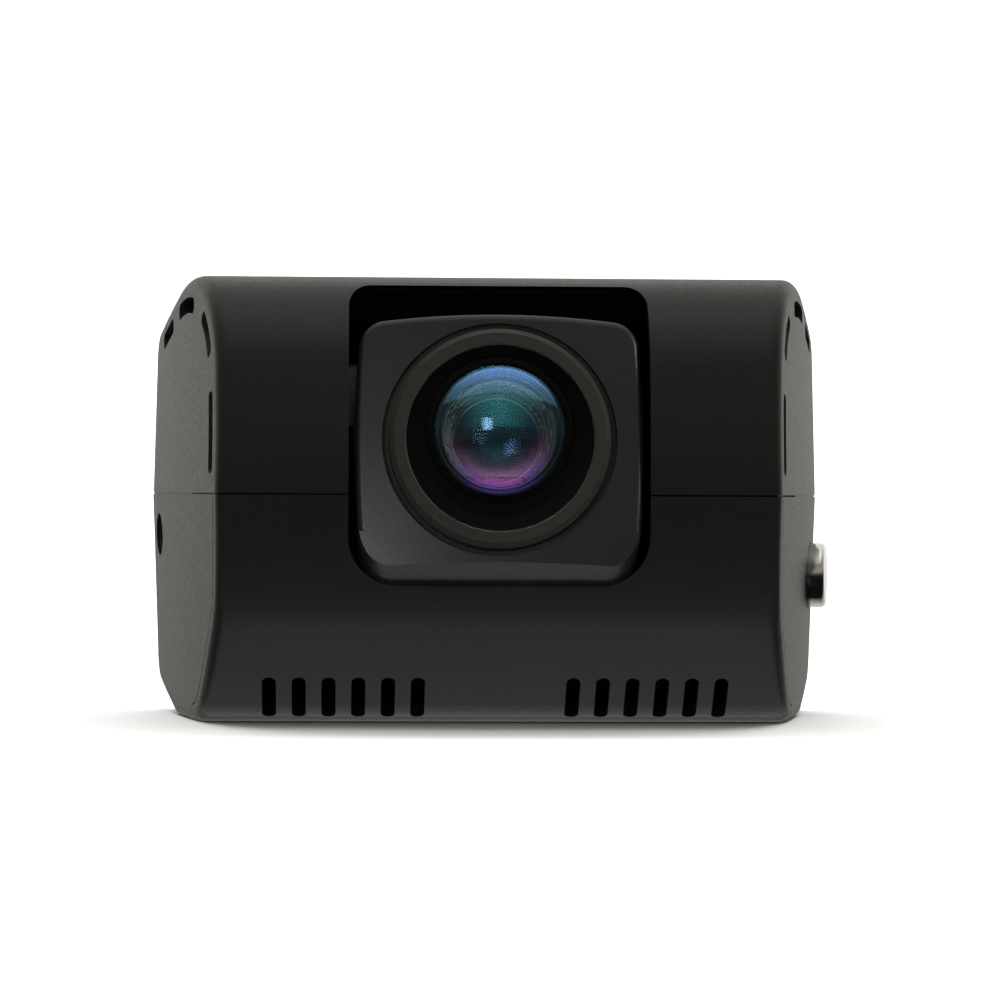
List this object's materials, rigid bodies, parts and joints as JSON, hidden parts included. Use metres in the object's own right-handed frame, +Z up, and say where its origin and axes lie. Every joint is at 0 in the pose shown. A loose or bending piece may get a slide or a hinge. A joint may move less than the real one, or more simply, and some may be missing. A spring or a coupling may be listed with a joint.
{
  "type": "dash camera",
  "caption": "Compact windscreen dash camera with a curved front, a tilting square lens block, a chrome power button, vents, a rear screen with keys and a top bracket rail.",
  "frame": {"origin": "on the flat strip of the base that the camera rests on, midway across and 3.1 mm behind its front edge", "axes": "+Z up, the lens faces -Y, +X to the right seen from the front"},
  "size_m": [0.0665, 0.0353, 0.0417],
  "materials": {
    "case_plastic": "fine matte texture",
    "rear_plastic": "fine matte texture",
    "lens_block_plastic": "satin",
    "ring_metal": "satin, dark anodised",
    "barrel_black": "matt black",
    "inner_black": "matt black",
    "coated_glass": "coated, polished",
    "filter_glass": "polished",
    "button_chrome": "polished",
    "key_plastic": "satin",
    "screen_glass": "polished",
    "display": "gloss",
    "board_green": "gloss",
    "chip_black": "matte",
    "sink_metal": "satin",
    "socket_metal": "brushed",
    "jack_plastic": "matte",
    "card_plastic": "matte",
    "battery_wrap": "satin foil",
    "rail_plastic": "matte",
    "screw_steel": "blackened",
    "washer_nylon": "matte",
    "light_guide": "gloss",
    "ribbon_film": "satin film"
  },
  "bodies": {
    "case": {"upper_housing": "case_plastic", "lower_housing": "case_plastic", "lower_front_cover": "case_plastic", "rear_cover": "rear_plastic", "recess_shroud": "inner_black", "lens_cradle": "inner_black", "speaker": "inner_black", "screen_window": "screen_glass", "lcd_module": "display", "main_board": "board_green", "board_chips": "chip_black", "key_switches": "chip_black", "power_switch": "chip_black", "microphone": "chip_black", "heat_sink": "sink_metal", "usb_socket": "socket_metal", "card_socket": "socket_metal", "av_jack": "jack_plastic", "battery": "battery_wrap", "bracket_rail": "rail_plastic", "case_screws": "screw_steel", "cradle_screws": "screw_steel", "board_screws": "screw_steel", "friction_washers": "washer_nylon", "status_light": "light_guide", "sensor_ribbon": "ribbon_film"},
    "lens_unit": {"lens_carriage": "lens_block_plastic", "pivot_pins": "screw_steel", "lens_trim_ring": "ring_metal", "lens_bezel": "barrel_black", "lens_barrel": "barrel_black", "lens_retainer": "barrel_black", "front_lens": "coated_glass", "second_lens": "coated_glass", "third_lens": "coated_glass", "rear_lens": "coated_glass", "lens_spacer": "barrel_black", "aperture_plate": "barrel_black", "lens_holder": "inner_black", "holder_screws": "screw_steel", "ir_filter": "filter_glass", "image_sensor": "chip_black", "sensor_board": "board_green"},
    "power_button": {"power_button": "button_chrome"},
    "memory_card": {"memory_card": "card_plastic"},
    "menu_button": {"menu_button": "key_plastic"},
    "up_button": {"up_button": "key_plastic"},
    "down_button": {"down_button": "key_plastic"},
    "ok_button": {"ok_button": "key_plastic"}
  },
  "joints": [
    {"name": "lens_tilt", "type": "hinge", "parent": "case", "child": "lens_unit", "pos_m": [0, -0.00566, 0.02498], "axis": [-1, 0, 0], "range_deg": [-8, 12], "deforming": ["sensor_ribbon"]},
    {"name": "power_press", "type": "slide", "parent": "case", "child": "power_button", "axis": [-0.9826, 0.1857, 0], "range_m": [0, 0.0004], "stiffness_N_per_m": 600, "springref_m": -0.0004},
    {"name": "card_slide", "type": "slide", "parent": "case", "child": "memory_card", "axis": [0, 0, 1], "range_m": [0, 0.016]},
    {"name": "menu_press", "type": "slide", "parent": "case", "child": "menu_button", "axis": [0, -1, 0], "range_m": [0, 0.0003], "stiffness_N_per_m": 500, "springref_m": -0.0003},
    {"name": "up_press", "type": "slide", "parent": "case", "child": "up_button", "axis": [0, -1, 0], "range_m": [0, 0.0003], "stiffness_N_per_m": 500, "springref_m": -0.0003},
    {"name": "down_press", "type": "slide", "parent": "case", "child": "down_button", "axis": [0, -1, 0], "range_m": [0, 0.0003], "stiffness_N_per_m": 500, "springref_m": -0.0003},
    {"name": "ok_press", "type": "slide", "parent": "case", "child": "ok_button", "axis": [0, -1, 0], "range_m": [0, 0.0003], "stiffness_N_per_m": 500, "springref_m": -0.0003}
  ]
}
